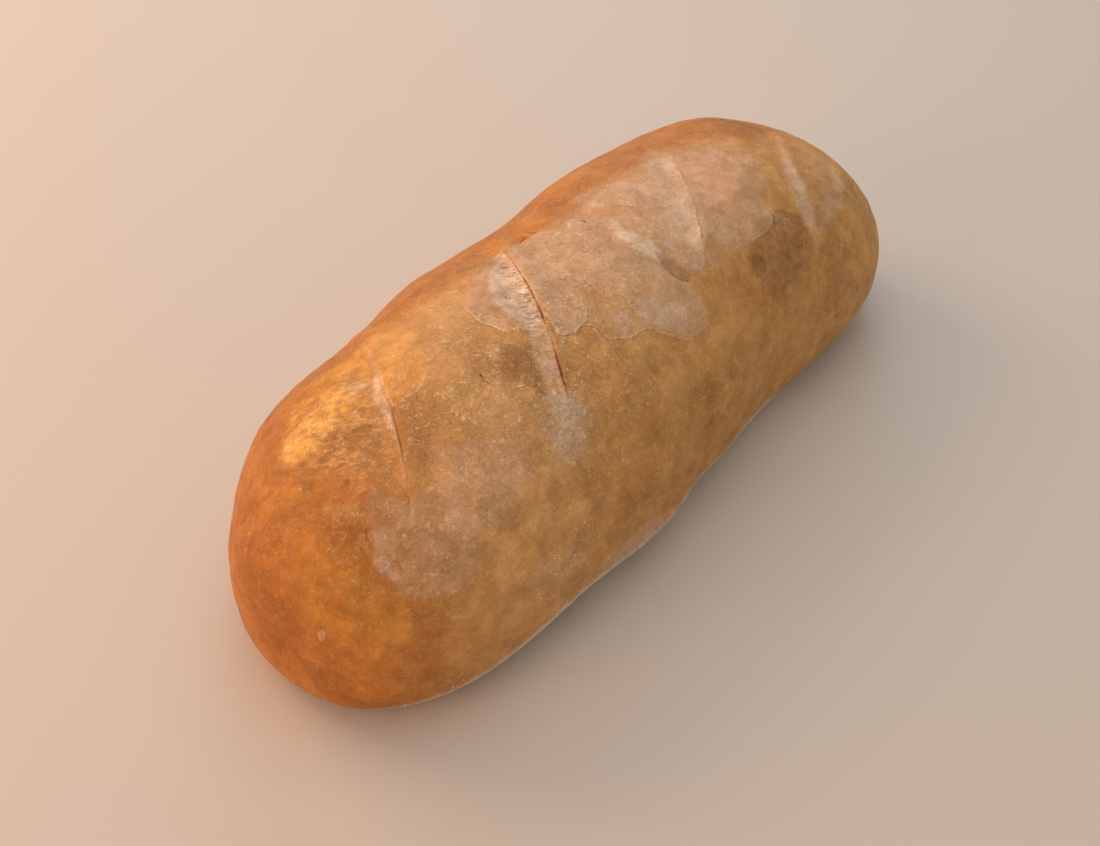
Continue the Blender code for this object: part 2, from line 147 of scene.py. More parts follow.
# The patches of each kind: what each is, how strongly it covers, how far in mm it rises, how soft in
# mm its edge is, and its outline: a closed curve through corners of mm along the crest and degrees
# round the loaf. A third number at a corner says how soft the edge is just there
PATCHES = {
    "amber": (
        ("paler crust low on the right side", 0.4, 0, 6, ((-67, 142), (-41, 149), (-14, 162), (-22, 177),
         (-45, 178), (-68, 168), (-73, 154))),
    ),
    # Brighter near shoulder and near end: partly glaze, partly painted warm light
    "glaze": (
        ("brighter glaze on the near shoulder", 0.36, 0, 4, ((-140, 68), (-128, 64), (-112, 62),
         (-98, 64, 3), (-90, 74, 3), (-96, 90, 3), (-108, 97), (-120, 93), (-132, 88), (-140, 80))),
        ("brighter glaze low on the near end", 0.2, 0, 5, ((-143, 130), (-132, 136), (-120, 148),
         (-108, 160), (-116, 170), (-134, 170), (-147, 160), (-148, 143))),
    ),
    "top": (
        ("paler crust between the last two slashes", 0.32, 0, 4, ((136, 84), (158, 86), (167, 102),
         (154, 122), (142, 130), (138, 112))),
        ("dried pale top of the far half", 0.46, 0, 4, ((-28, 74, 2), (-12, 75, 3), (18, 77, 3), (48, 76),
         (80, 78), (102, 87), (112, 100), (100, 116, 3), (84, 122, 3), (66, 124, 3), (50, 122), (24, 114),
         (-4, 104), (-26, 98, 3))),
    ),
    "brown": (
        ("bare brown crust under the golden peel", 0.28, 0, 0.3, ((-101.6, 99), (-93, 100), (-86, 99.5),
         (-82, 99, 0.6), (-78, 106, 3), (-82, 114, 4), (-88, 120, 4), (-96, 123, 3), (-101.4, 119, 0.4),
         (-101.6, 108))),
        ("deep brown far side", 0.6, 0, 5, ((92, 123, 0.8), (97, 120.5, 0.6), (106, 120, 0.6),
         (116, 120, 0.8), (124, 124, 1), (130, 129, 1.5), (134, 136, 3), (126, 145), (113, 150), (99, 147),
         (91, 138, 3), (88, 131, 2))),
        ("browner far end, right side", 0.36, 0, 8, ((142, 128), (160, 126), (174, 148), (162, 170),
         (142, 160))),
    ),
    "gold": (
        ("golden peel beyond the first slash", 0.22, 0.2, 3, ((-101, 58, 0.6), (-94, 58), (-88, 66),
         (-84, 77), (-82, 88), (-83, 95, 1), (-86, 99, 0.25), (-93, 99.5, 0.25), (-101, 98.5, 0.25),
         (-101.3, 88, 0.3), (-101.3, 72, 0.4))),
        # A painted highlight on the near shoulder, with the lower roughness of a glaze
        ("golden glaze on the near shoulder", 0.92, 0.1, 2, ((-145, 84), (-146, 91), (-141, 97),
         (-131, 96, 2.5), (-124, 91, 2.5), (-116, 89, 2.5), (-112, 84), (-115, 78), (-124, 79.5),
         (-133, 80))),
    ),
    "wrinkled": (
        ("scaly skin on the near shoulder", 0.22, 0, 3, ((-142, 84), (-135, 77), (-121, 75), (-110, 74),
         (-104, 85, 2), (-104, 98, 2), (-104, 109, 2), (-110, 113, 4), (-123, 112, 4), (-137, 103, 4),
         (-144, 93))),
        ("wrinkled skin between the first two slashes", 0.28, 0.1, 2, ((-81, 78), (-68, 76, 3), (-60, 85),
         (-56, 93), (-50, 101, 1.5), (-51, 108, 3), (-63, 107, 4), (-75, 103, 4), (-84, 101),
         (-81, 92, 0.6))),
        ("wrinkled skin low between them", 0.4, 0, 5, ((-80, 103, 4), (-63, 108), (-49, 118, 4),
         (-33, 128, 4), (-14, 136), (-20, 145), (-38, 140), (-54, 131), (-69, 122))),
        ("pale bar at the near end", 0.4, 0.1, 1.5, ((-134, 120), (-127, 122), (-121, 126), (-122, 128),
         (-130, 126), (-135, 123))),
    ),
    "skin": (
        ("dried top between the second and third slash", 0.34, 0.25, 0.3, ((-30, 90), (-30, 72, 1),
         (-21, 71, 1), (-10, 76, 2), (3, 82, 2), (17, 90, 2), (33, 98, 3), (41, 113, 3), (51, 125, 2),
         (58, 134, 1.5), (60, 140, 1), (47, 139, 0.6), (35, 134, 0.4), (26, 130), (19, 127), (11, 127, 0.25),
         (-2, 124, 0.25), (-5, 121, 0.25), (-11, 116, 0.25), (-23, 113), (-29, 107))),
        ("tan skin below it", 0.5, 0.1, 2, ((63, 108), (80, 109), (95, 113, 1), (108, 122, 0.8),
         (99, 126, 0.6), (86, 125, 0.8), (76, 121), (66, 118))),
        ("pale skin below the first slash", 0.5, 0.1, 3, ((-115, 121), (-109, 126), (-100, 128),
         (-90, 133, 4), (-82, 141, 4), (-79, 150), (-85, 157), (-94, 157), (-102, 156, 2), (-110, 152, 2),
         (-117, 146, 1), (-120, 141, 1), (-118, 129, 2))),
    ),
    "flake": (
        ("upper flake on it", 0.3, 0.12, 0.3, ((-30, 88), (-30, 72, 1), (-21, 71, 1), (-10, 76, 2),
         (3, 82, 2), (17, 90, 2), (33, 98, 3), (41, 113, 3), (53, 129, 1.5), (47, 135, 1), (34, 131, 0.5),
         (22, 126, 0.4), (14, 121), (9, 114, 0.25), (1, 112), (-3, 107), (-9, 105, 0.5), (-18, 104, 1.5),
         (-29.6, 102, 1.5))),
        ("wrinkled flake under the slash", 0.5, 0, 0.4, ((-28, 101), (-20, 102), (-12, 106), (-9, 112),
         (-14, 115), (-21, 114), (-27, 111))),
        ("pale far patch", 0.7, 0.15, 2, ((7, 73), (17, 74), (25, 77, 1.5), (42, 86, 1), (40, 93, 0.8),
         (27, 89, 0.6), (17, 84, 0.6), (11, 80, 1))),
        ("third slash, stretched wedge", 0.7, 0, 3, ((55, 69), (46, 78), (37, 89), (34, 100), (41, 112),
         (57, 123, 1.5), (62, 122, 0.6), (62.5, 107, 0.5), (63, 97, 0.5), (62.5, 85, 0.8), (62, 74, 1.5))),
        ("fourth slash, stretched wedge", 0.68, 0, 2, ((131, 78, 2.5), (131, 91), (132, 102, 1.5),
         (135, 111), (138, 117), (136, 124), (140, 135, 2.5), (135, 137, 2.5), (129, 126, 1.5),
         (125, 115, 0.8), (125, 100, 1.5))),
        ("fifth slash, stretched wedge", 0.5, 0, 2, ((161, 82, 3), (168, 95), (169, 106, 1.5), (161, 119),
         (151, 128, 2.5), (141, 133, 2.5), (145, 124, 2.5), (157, 110))),
        ("bright fold on the far half", 0.8, 0.2, 0.5, ((23, 83), (25, 88, 0.4), (34, 93, 0.4), (39, 92),
         (36, 90, 0.8), (28, 86, 0.8))),
        ("flour rubbed on below the second slash", 0.62, 0, 3, ((-38, 123, 2), (-33, 124, 1.5),
         (-28, 128, 2), (-22, 135), (-25, 143, 4), (-33, 146), (-41, 140, 4), (-43, 130))),
    ),
    "pink": (
        ("pink skin beyond the third slash", 0.42, 0.15, 1, ((66, 80, 2), (80, 81, 1.5), (92, 89),
         (97, 98, 0.8), (93, 108), (80, 109, 1.5), (66, 106), (64, 96, 0.8), (64, 85))),
        ("pink blister", 0.7, 0.15, 0.6, ((-1, 79), (4, 81), (7, 86, 0.5), (4, 88), (-1, 84))),
        ("pink spot at the near end", 0.6, 0, 0.6, ((-146, 165), (-143.5, 164.5), (-143.5, 168),
         (-146, 169))),
        ("pink skin before the second slash", 0.48, 0.25, 2, ((-33, 69), (-43, 71, 2.5), (-53, 77),
         (-59, 85, 0.8), (-58, 91, 0.25), (-52, 97, 0.25), (-48, 101, 0.25), (-41, 103, 0.25),
         (-36, 105, 0.4), (-36, 98, 1), (-34, 85), (-33, 76))),
        ("pink rub beside the dent", 0.42, 0, 4, ((-86, 121), (-70, 124), (-55, 131), (-54, 140, 3),
         (-61, 143, 2.5), (-68, 144, 2.5), (-76, 145, 3), (-86, 142), (-90, 132))),
        ("pink edge low on the right", 0.75, 0, 0.8, ((-24, 184), (-11, 181.5), (3, 181), (14, 181, 1),
         (20, 188), (4, 193), (-9, 194))),
        ("pink edge farther on", 0.6, 0, 0.8, ((21, 187), (37, 186), (52, 190), (50, 195), (38, 195),
         (26, 195))),
    ),
    "flour": (
        ("pale edge of the fourth slash", 0.2, 0, 1.5, ((131, 82), (131.5, 96), (133, 110, 1.2), (136, 122),
         (134, 128, 2), (129, 118, 1.2), (127, 108, 1), (128, 94))),
        ("white streak on the far half", 0.54, 0, 2, ((18, 91), (22, 96), (28, 102, 1.5), (35, 108, 1),
         (39, 112.5, 0.5), (34, 112, 0.4), (27, 108, 0.4), (21, 103, 0.6), (17, 97, 1.5))),
        ("floury tip of the flake", 0.2, 0, 0.4, ((-1, 118.5), (4, 117, 1), (10, 118.5, 1.5), (12, 123, 1.5),
         (7, 125.5, 0.8), (2, 124))),
        ("floury lower edge of the dried top", 0.22, 0, 2, ((16, 118), (26, 121), (36, 125), (46, 131),
         (53, 137, 1.5), (44, 136, 0.8), (33, 132, 0.6), (25, 128, 0.6), (18, 125, 1))),
        ("pale edge of the third slash", 0.24, 0, 2, ((60, 80), (52, 84, 3), (48, 94, 3), (50, 104),
         (55, 113), (60, 120, 1), (62, 124, 0.6), (62.6, 115, 0.3), (62.6, 100, 0.3), (62.6, 88, 0.5))),
        ("white fleck on the near shoulder", 0.28, 0.1, 1.5, ((-116, 80), (-111, 80), (-107, 83), (-107, 86),
         (-112, 85))),
        ("second slash, stretched band", 0.74, 0, 0.3, ((-31, 68, 0.8), (-37, 72, 1.5), (-43, 79, 2),
         (-46, 85, 1.8), (-46, 91, 1.5), (-43, 97, 1.2), (-39, 102, 1), (-36, 106, 1), (-33, 108, 1.5),
         (-30.3, 108), (-30.3, 98), (-30.4, 86), (-30.6, 76))),
        ("lower end of the band", 0.46, 0, 1.5, ((-36, 103), (-38, 110), (-38.5, 114), (-37, 119),
         (-34, 124, 1), (-30.5, 122, 0.3), (-30.3, 112, 0.3), (-30.3, 104, 0.5))),
        ("floury dent near the end", 0.24, 0, 0.8, ((-119, 141), (-116, 141, 1), (-113.5, 143), (-111, 147),
         (-110, 150, 1), (-113, 149, 1.5), (-117.5, 145, 1.5))),
        ("brighter flour in the middle of it", 0.36, 0, 2, ((-38, 125, 1.5), (-33, 126, 1), (-29, 131, 1.5),
         (-25, 136), (-29, 140), (-34, 142), (-38, 138), (-39, 131))),
        ("pale line along the first slash", 0.24, 0, 0.3, ((-101.9, 55), (-102.4, 70), (-102.6, 83, 0.4),
         (-103.2, 96, 0.8), (-103.4, 106, 0.6), (-103, 113, 0.8), (-102.2, 121, 1.5), (-101.4, 116, 0.4),
         (-101.3, 95), (-101.3, 75))),
        ("flour before its mouth", 0.48, 0, 0.8, ((-102.4, 83), (-105, 86, 1), (-107, 90, 1.2),
         (-106.6, 95, 1.2), (-104.6, 100, 1), (-103.2, 106), (-102, 109, 0.4), (-101.8, 99, 0.3),
         (-102, 88, 0.4))),
        ("floury flecks low on the side", 0.12, 0, 3, ((-58, 166), (-44, 166), (-30, 172), (-36, 178),
         (-52, 178))),
    ),
    # Darker stains and blotches, and painted shade in the folds, the hollows and the pit
    "shade": (
        ("darker flake in the dried top", 0.12, -0.1, 0.4, ((-9, 106), (-1, 108.5, 0.8), (3, 112, 0.8),
         (3, 116.5, 0.6), (0, 118.5), (-3, 116, 0.3), (-6, 111, 0.3))),
        ("red stain beyond the second slash", 0.22, 0, 1.5, ((-24, 75), (-19, 76), (-18, 81), (-24, 82))),
        ("fold low on the near end", 0.3, -0.15, 1, ((-165, 90, 0.6), (-156, 98, 0.8), (-149, 100),
         (-156, 102), (-164, 94))),
        ("second fold there", 0.25, -0.1, 1, ((-166, 113, 0.8), (-158, 115), (-150, 113), (-144, 114),
         (-151, 117, 1.5), (-160, 119))),
        ("redder blotch in the pink skin", 0.13, 0, 2, ((-57, 84), (-52, 80), (-47, 83), (-46, 89),
         (-50, 94, 1.5), (-56, 91, 1.5))),
        ("red brown hollow before the second slash", 0.38, 0, 1, ((-52, 104, 1.5), (-47.5, 105.5),
         (-43.5, 108.5, 0.8), (-40, 113.5, 0.6), (-39, 119, 0.6), (-39, 124.5), (-44, 120.5),
         (-49, 115, 1.2), (-54, 110, 1.5))),
        ("browner blotch in it", 0.2, 0, 2, ((-101, 127, 1.5), (-93, 128), (-87, 132), (-86, 136),
         (-92, 137), (-99, 134, 1.5))),
        ("shadowed fold at its foot", 0.2, 0, 1.5, ((-68, 143), (-56, 147), (-56, 151, 3), (-67, 149, 3))),
        ("brown fold beside the second slash", 0.32, -0.1, 0.4, ((-30, 116, 0.3), (-28.6, 120), (-27.6, 125),
         (-29.5, 129, 0.3), (-30.6, 126), (-30.8, 121))),
        ("dark pit before the third slash", 0.34, -0.2, 0.3, ((34, 109.5, 0.5), (38, 111.5, 1.2),
         (45, 116, 1.5), (51, 122, 0.8), (51.5, 124.5), (46, 122), (41.5, 118), (37, 113.5, 0.4))),
    ),
}
PATCH_REACH = 12.0   # mm from its outline that a patch is worked out to
PATCH_TURN = 24.0    # and degrees round the loaf
CURVE_PIECES = 3     # straight pieces between two corners of an outline
SHARPEST = 0.15      # mm: no edge is less soft
RISE_EASE = 0.3      # mm that the rise of an edge reaches beyond its softness

# Little tears, painted dark with the shade inside them: the half width in mm of each, and its line in mm and
# degrees
TEARS = (
    (0.45, ((-64, 106), (-62, 110), (-60, 112))),
    (0.15, ((-102, 127), (-102, 131), (-104, 135))),
    (0.65, ((-17, 68), (-14, 72))),
    (0.55, ((-22, 69), (-19, 69), (-17, 72))),
    (0.55, ((5, 82), (7, 86))),
    (0.30, ((15, 88), (21, 90))),
    (0.35, ((79, 116), (84, 120), (88, 124))),
    (0.45, ((39, 115.5), (45, 120.5), (51, 124))),
    (0.55, ((-37, 74.5), (-33, 78))),
    (0.15, ((7, 106), (13, 108), (20, 113), (23, 114))),
    (0.45, ((-41.5, 89.5), (-40.5, 91))),
    (0.30, ((-150, 130), (-149.4, 130.8))),
    (0.25, ((-128, 71), (-127.3, 71.6))),
    (0.15, ((-12, 137), (-12, 143), (-13, 145), (-10, 148))),
    (0.12, ((-33, 145), (-30, 149), (-26, 152))),
    (0.12, ((-52, 147), (-46, 150), (-41, 152))),
)
TEAR_DEPTH = 0.4 * MM
TEAR_REACH = 0.7   # mm over which the crust sinks towards a tear
TEAR_THINS = 0.5   # share of its width that a piece of a tear loses towards its ends

# The glazed, more orange crust, with painted warm light on it: the near end up to these places in mm,
# and the upper left side down to these degrees at places in mm
WARM_LIT_END = (-128.0, -70.0)
WARM_LIT_LIMB = ((-110, 70), (-30, 69), (-15, 75), (15, 76), (32, 78), (55, 77), (84, 76), (107, 80),
              (125, 76), (150, 60))
WARM_LIT_FADE = 8.0
WARM_LIT_GONE = (105.0, 160.0)
WARM_LIT_LOW = 0.5               # share of it low on the left side, and under it
WARM_LIT_FULL = (5.0, 50.0)      # degrees over which it grows to the whole above that
WARM_LIT_UNDER = (270.0, 300.0)  # degrees over which it comes in under the left side

# Painted shade down the right side from these degrees, and darker crust towards the far end from these mm
SHADE_SIDE = (112.0, 160.0)
SHADE_SIDE_FROM = (-60.0, 40.0)
DARKER_FAR_END = (100.0, 150.0)

# Scales in the glaze of the near shoulder: the middle and reach in mm and degrees, and their turn
SCALY = {"place": -124.0, "long": 24.0, "degrees": 93.0, "wide": 24.0}
SCALE_TURN = math.radians(54.0)
DASH_TURN = math.radians(45.0)
# And where the surface dried into fine curls
CURLY = {"place": -42.0, "long": 72.0, "degrees": 114.0, "wide": 48.0}

# Where the floured foot begins: on the right side at degrees at places in mm, elsewhere at a height
FOOT_LINE = ((-182, 264), (-168, 246), (-155, 227), (-140, 209), (-125, 201.5), (-102, 196), (-72, 192.5),
             (-33, 191.5), (18, 192), (50, 192.5), (81, 194), (112, 203), (140, 218), (166, 240), (182, 250))
FOOT_HEIGHT = 0.0035
FOOT_MIDDLE = 270.0   # degrees: the middle of the underside
FOOT_EASE = {"from": 225.0, "to": 262.0, "by": 12.0}   # degrees over which the line gives way, and mm

# Fineness of the grid: column and degrees round the loaf, then the gaps between rings
COLUMN_BENDS = ((0, 0.0), (172, 180.0), (206, 228.0), (230, 312.0), (264, 360.0))
RING_GAP = 1.19 * MM
CUT_RING_GAP = 0.28 * MM
CUT_REACH = 1.6 * MM
TIP_RINGS = 0.55           # how strongly the rings crowd towards the tips
CREST_SAMPLES = 20001
OUTLINE_POINTS = 12000
SLICE_ROUNDS = 30

# Grains of flour caught on the crust: how many, between which mm and degrees, measured from the
# foot line where "from_foot" says so
GRAINS = (
    {"count": 150, "places": (-118.0, 120.0), "degrees": (-7.0, 1.0), "from_foot": True},
    {"count": 60, "places": (-56.0, -32.0), "degrees": (163.0, 178.0), "from_foot": False},
    {"count": 40, "places": (-60.0, 60.0), "degrees": (125.0, 175.0), "from_foot": False},
)
GRAIN_RADII = (0.12 * MM, 0.32 * MM)
GRAIN_SEED = 5
GRAIN_UNEVEN = (0.7, 1.2)   # shares of its radius that a grain's corners lie at
GRAIN_RISE = 0.2            # share of its radius that its middle lies above the crust

# The camera stands where the photo was taken from, in metres
VIEW_FROM = (-0.3497, -0.2562, 0.4095)
VIEW_TO = (-0.0005, 0.0100, 0.0)
LENS = 49.54
SENSOR = 36.0


# === The form of the loaf ===
def smooth_step(low, high, value):
    """0 below low, 1 above high, an even S between."""
    share = np.clip((value - low) / (high - low), 0.0, 1.0)
    return share * share * (3.0 - 2.0 * share)


def bulge(low, top, high, value):
    """A smooth rise from low to top and fall from there to high."""
    return smooth_step(low, top, value) * (1.0 - smooth_step(top, high, value))


def hump(value, place, spread):
    """A bell of height 1 at place."""
    return np.exp(-((value - place) / spread) ** 2)


def round_off(share, power):
    """1 at the middle of the loaf, falling to 0 at its tips."""
    inside = np.clip(1.0 - np.abs(share) ** power, 0.0, 1.0)
    return inside ** (1.0 / power)


def end_power(share, ends):
    """The bluntness of the end that a place belongs to."""
    return np.where(share < 0.0, ends["near"], ends["far"])


def centre_line(share):
    """The bowed middle line in plan."""
    return BOW * (1.0 - share ** 2)


def half_width(share, side):
    """From the middle line to the left or right flank, with its swells and hollows."""
    swelling = sum(rise * hump(share, place, spread) for place, spread, rise in SIDES[side]["swells"])
    return (WIDTH / 2.0 + swelling) * round_off(share, end_power(share, SIDES[side]))


def across(x, y):
    """How far a point is from the middle line, as a share of the way to its flank."""
    share = np.clip(x / (LENGTH / 2.0), -1.0, 1.0)
    offset = y - centre_line(share)
    half = np.where(offset >= 0.0, half_width(share, "left"), half_width(share, "right"))
    return share, np.clip(np.abs(offset) / np.maximum(half, 1e-9), 0.0, 1.0)


def top_height(x, y):
    """The crown above the girth."""
    share, out = across(x, y)
    full = (HEIGHT - GIRTH_HEIGHT) * (1.0 + CREST_FALL * share)
    rise = full * round_off(share, end_power(share, CREST_ENDS))
    return GIRTH_HEIGHT + rise * round_off(out, CROWN)


def underside_height(x, y):
    """The round underside, baked flat where it would reach below the table."""
    share, out = across(x, y)
    drop = (GIRTH_HEIGHT + UNDERSIDE_SINK) * round_off(share, UNDERSIDE_ENDS)
    height = GIRTH_HEIGHT - drop * round_off(out, UNDERSIDE)
    turned = (height + FOOT_ROUND) ** 2 / (4.0 * FOOT_ROUND)
    blended = np.where(height < FOOT_ROUND, turned, height)
    return np.where(height < -FOOT_ROUND, 0.0, blended)


def slice_shape(crest):
    """Slant and curl of the slice that crosses the crest at a place, eased from slash to slash."""
    places = [slash["crest"] for slash in SLASHES]
    return (np.interp(crest, places, [slash[what] for slash in SLASHES]) for what in ("slant", "curl"))


def slice_x(crest, y):
    """x along a slanting, curling slice."""
    slant, curl = slice_shape(crest)
    return crest + slant * y - curl * y * y


def slice_through(x, y):
    """The crest place of the slice that goes through a point of the plan."""
    crest = np.array(x, dtype=float)
    for _ in range(SLICE_ROUNDS):
        slant, curl = slice_shape(crest)
        crest = x - slant * y + curl * y * y
    return crest


def flanks():
    """For the slices from end to end: crest place and y of the left flank, then of the right one."""
    share = np.sin(np.linspace(-math.pi / 2.0, math.pi / 2.0, OUTLINE_POINTS))
    left = np.stack([share * LENGTH / 2.0, centre_line(share) + half_width(share, "left")])
    right = np.stack([share * LENGTH / 2.0, centre_line(share) - half_width(share, "right")])
    ring = np.concatenate([left, right[:, ::-1]], axis=1)
    crest = slice_through(ring[0], ring[1])
    ring = np.roll(ring, -int(np.argmin(crest)), axis=1)
    crest = np.roll(crest, -int(np.argmin(crest)))
    far = int(np.argmax(crest)) + 1
    left_side = (np.maximum.accumulate(crest[:far]), ring[1, :far])
    right_crest = np.append(crest[far - 1:], crest[0])[::-1]
    right_y = np.append(ring[1, far - 1:], ring[1, 0])[::-1]
    return left_side, (np.maximum.accumulate(right_crest), right_y)


LEFT_SIDE, RIGHT_SIDE = flanks()
TIPS = (LEFT_SIDE[0][0], LEFT_SIDE[0][-1])


def on_form(crest, angle):
    """Points of the plain form at crest places and angles round the loaf."""
    left_y = np.interp(crest, *LEFT_SIDE)
    right_y = np.interp(crest, *RIGHT_SIDE)
    y = (left_y + right_y) / 2.0 + (left_y - right_y) / 2.0 * np.cos(angle)
    x = slice_x(crest, y)
    z = np.where(angle <= math.pi, top_height(x, y), underside_height(x, y))
    return np.stack([x, y, z], axis=-1)


def ring_places():
    """Crest places of the rings: even, but close together at each slash and at the round tips."""
    crest = np.linspace(*TIPS, CREST_SAMPLES)
    density = np.full(crest.shape, 1.0 / RING_GAP)
    for slash in SLASHES:
        closer = (1.0 / CUT_RING_GAP - 1.0 / RING_GAP) * slash["strength"]
        density += closer * hump(crest, slash["crest"], CUT_REACH)
    for tip in TIPS:
        density += TIP_RINGS / np.sqrt(RING_GAP * (np.abs(crest - tip) + RING_GAP))
    steps = (density[1:] + density[:-1]) / 2.0 * (crest[1] - crest[0])
    count = np.concatenate([[0.0], np.cumsum(steps)])
    rings = int(count[-1])
    return np.interp(np.arange(1, rings) / rings * count[-1], count, crest)


def outward(points):
    """Unit normals of a grid of rings."""
    along = np.gradient(points, axis=0)
    around = (np.roll(points, -1, axis=1) - np.roll(points, 1, axis=1)) / 2.0
    normal = np.cross(around, along)
    length = np.linalg.norm(normal, axis=-1, keepdims=True)
    return normal / np.maximum(length, 1e-12)


def slash_relief(crest, angle):
    """The cuts: a groove, a sunken band on its near side and a lip on its far side."""
    relief = np.zeros(np.broadcast(crest, angle).shape)
    degrees = np.degrees(angle)
    for slash in SLASHES:
        gone = crest - slash["crest"]
        runs_in = smooth_step(slash["start"], slash["start"] + SLASH_FADE, degrees)
        runs_out = smooth_step(slash["end"] - SLASH_FADE, slash["end"], degrees)
        mouth = np.interp(degrees, *np.transpose(slash["mouth"]))
        opened = smooth_step(*MOUTH_OPENS, mouth)
        mouth = np.maximum(mouth, 0.0) * MM
        deep = GROOVE_DEPTH * opened + GROOVE_DEEPER * mouth
        groove = deep * np.clip(1.0 - np.abs(gone) / (GROOVE_WIDTH + mouth), 0.0, 1.0)
        sunk = BAND_SINK * bulge(-BAND_WIDTH, -BAND_WIDTH / 2.0, 0.0, gone)
        lip = LIP_RISE * bulge(-BAND_WIDTH / 3.0, LIP_WIDTH / 3.0, LIP_WIDTH, gone)
        step = STEP * slash["strength"] * (gone > 0.0) * (1.0 - smooth_step(0.0, LIP_WIDTH, gone))
        relief += slash["strength"] * runs_in * (1.0 - runs_out) * (lip + step - sunk - groove)
    return relief


def swell_relief(crest, angle):
    """The crust swells between neighbouring slashes and lies lower along them."""
    places = np.array([slash["crest"] for slash in SLASHES[:SWELL_SLASHES]])
    count = np.interp(crest, places, np.arange(len(places)))
    inner = smooth_step(places[0] - SWELL_FADE, places[0], crest)
    outer = smooth_step(places[-1], places[-1] + SWELL_FADE, crest)
    return -SWELL * np.cos(2.0 * math.pi * count) * inner * (1.0 - outer) * np.clip(np.sin(angle), 0.0, 1.0)


def dent_relief(points):
    """Small hollows, each a long bell turned in plan."""
    relief = np.zeros(points.shape[:2])
    for dent in DENTS:
        turn = math.radians(dent["turn"])
        from_x = points[..., 0] - dent["x"]
        from_y = points[..., 1] - dent["y"]
        along = (from_x * math.cos(turn) + from_y * math.sin(turn)) / dent["long"]
        beside = (from_y * math.cos(turn) - from_x * math.sin(turn)) / dent["short"]
        relief -= dent["depth"] * np.exp(-along ** 2 - beside ** 2) * (points[..., 2] > GIRTH_HEIGHT)
    return relief


def uneven(points, seed, waves, shortest, longest):
    """An uneven field of about unit height: a sum of waves in random directions through the loaf."""
    draw = np.random.default_rng(seed)
    field = np.zeros(points.shape[:-1])
    for _ in range(waves):
        way = draw.normal(size=3)
        way /= np.linalg.norm(way)
        wave = draw.uniform(shortest, longest)
        start = draw.uniform(0.0, 2.0 * math.pi)
        field += np.sin(points @ way * (2.0 * math.pi / wave) + start)
    return field / math.sqrt(waves)


# === Marks on the crust ===
def rounded(corners):
    """A closed curve through corners, with some points between every two."""
    before, after, beyond = (np.roll(corners, step, axis=0) for step in (1, -1, -2))
    curve = []
    for share in np.arange(CURVE_PIECES) / CURVE_PIECES:
        bend = (after - before) * share
        bend = bend + (2.0 * before - 5.0 * corners + 4.0 * after - beyond) * share ** 2
        bend = bend + (3.0 * corners - before - 3.0 * after + beyond) * share ** 3
        curve.append(corners + bend / 2.0)
    return np.stack(curve, axis=1).reshape(-1, corners.shape[1])


def from_piece(points, start, end):
    """How far points are from a straight piece, and at what share of it."""
    way = end - start
    share = np.clip((points - start) @ way / (way @ way), 0.0, 1.0)
    return np.linalg.norm(points - start - share[..., None] * way, axis=-1), share


def inside_patch(points, place, degrees, corners):
    """How far in mm each point lies inside an outline, below 0 outside it, and how soft it is there."""
    curve = rounded(corners)
    curve[:, 2] = np.maximum(curve[:, 2], SHARPEST)
    line = on_form(curve[:, 0] * MM, np.radians(curve[:, 1])) / MM
    gap = np.full(points.shape[:2], np.inf)
    soft = np.ones(points.shape[:2])
    inside = np.zeros(points.shape[:2], dtype=bool)
    for number in range(len(curve)):
        this, following = curve[number - 1], curve[number]
        distance, share = from_piece(points, line[number - 1], line[number])
        soft = np.where(distance < gap, this[2] + (following[2] - this[2]) * share, soft)
        gap = np.minimum(gap, distance)
        climb = (following[0] - this[0]) / ((following[1] - this[1]) or 1e-9)
        crossed = (this[1] > degrees) != (following[1] > degrees)
        inside ^= crossed & (place < this[0] + (degrees - this[1]) * climb)
    return np.clip(np.where(inside, gap, -gap), -PATCH_REACH, PATCH_REACH), soft


def near_corners(values, corners, reach):
    """Which of the values lie among the corners' values or within reach of them."""
    return np.flatnonzero((values > corners.min() - reach) & (values < corners.max() + reach))


def patch_marks(points, crest, angle):
    """For each layer, how far in mm inside its patches a point is, how soft they are and how much they
    cover; and the relief of all patches."""
    place = crest / MM
    degrees = np.degrees(angle)
    shape = points.shape[:2]
    blank = np.stack([np.full(shape, -PATCH_REACH), np.ones(shape), np.zeros(shape)], axis=-1)
    marks = {layer: blank.copy() for layer in PATCHES}
    relief = np.zeros(shape)
    for layer, patches in PATCHES.items():
        for _, cover, rise, usual, outline in patches:
            corners = np.array([(*corner, usual)[:3] for corner in outline], dtype=float)
            rings = near_corners(place[:, 0], corners[:, 0], PATCH_REACH)
            columns = near_corners(degrees[0], corners[:, 1], PATCH_TURN)
            near = np.ix_(rings, columns)
            gap, soft = inside_patch(points[near] / MM, place[rings], degrees[:, columns], corners)
            there = marks[layer][near]
            stronger = gap / soft > there[..., 0] / there[..., 1]
            new = np.stack([gap, soft, np.full(gap.shape, cover)], axis=-1)
            marks[layer][near] = np.where(stronger[..., None], new, there)
            relief[near] += rise * smooth_step(-soft - RISE_EASE, soft + RISE_EASE, gap)
    return marks, relief * MM


def tear_marks(points):
    """The distance in mm from the nearest tear, less than 0 within its width."""
    nearest = np.full(points.shape[:2], PATCH_REACH)
    for wide, tear in TEARS:
        place, degrees = np.transpose(tear)
        line = on_form(place * MM, np.radians(degrees))
        for start, end in zip(line[:-1], line[1:]):
            distance, share = from_piece(points, start, end)
            thinning = wide * (1.0 - TEAR_THINS * np.abs(2.0 * share - 1.0))
            nearest = np.minimum(nearest, distance / MM - thinning)
    return nearest


